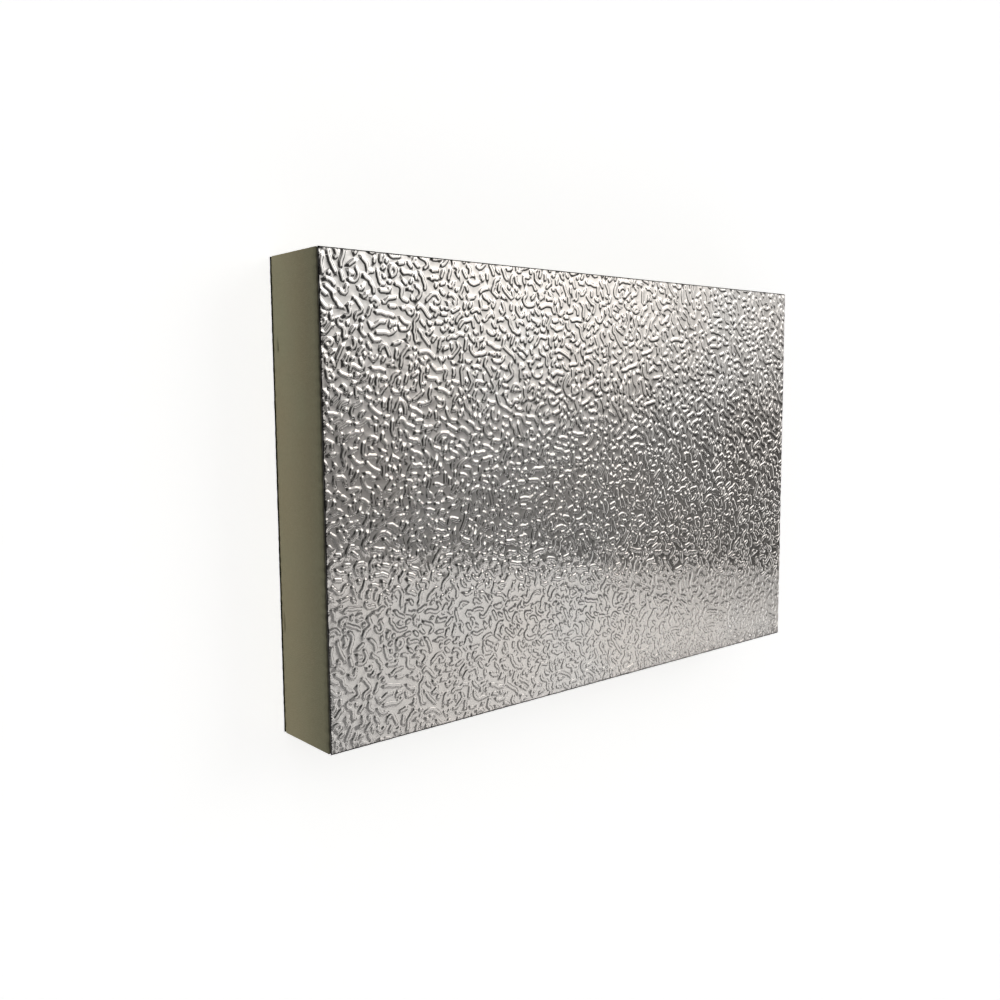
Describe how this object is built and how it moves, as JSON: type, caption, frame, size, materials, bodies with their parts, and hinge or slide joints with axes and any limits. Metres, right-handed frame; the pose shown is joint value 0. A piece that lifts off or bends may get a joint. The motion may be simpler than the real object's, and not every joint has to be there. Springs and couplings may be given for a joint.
{
  "type": "pre-insulated duct panel",
  "caption": "Flat square-cut piece of pre-insulated duct panel: rigid foam core bonded between stucco-embossed aluminium foils, for building insulated air ducts.",
  "frame": {"origin": "centre of the panel's underside, on the surface that it lies on", "axes": "+X along the panel's length, +Y across its width, +Z through its thickness towards the front foil"},
  "size_m": [0.16, 0.1036, 0.02],
  "materials": {
    "foam": "fine closed-cell rigid foam, knife cut, olive beige",
    "foil": "stucco-embossed mill-finish foil, satin to bright"
  },
  "bodies": {
    "root": {"foam_core": "foam", "front_foil": "foil", "back_foil": "foil"}
  },
  "joints": []
}
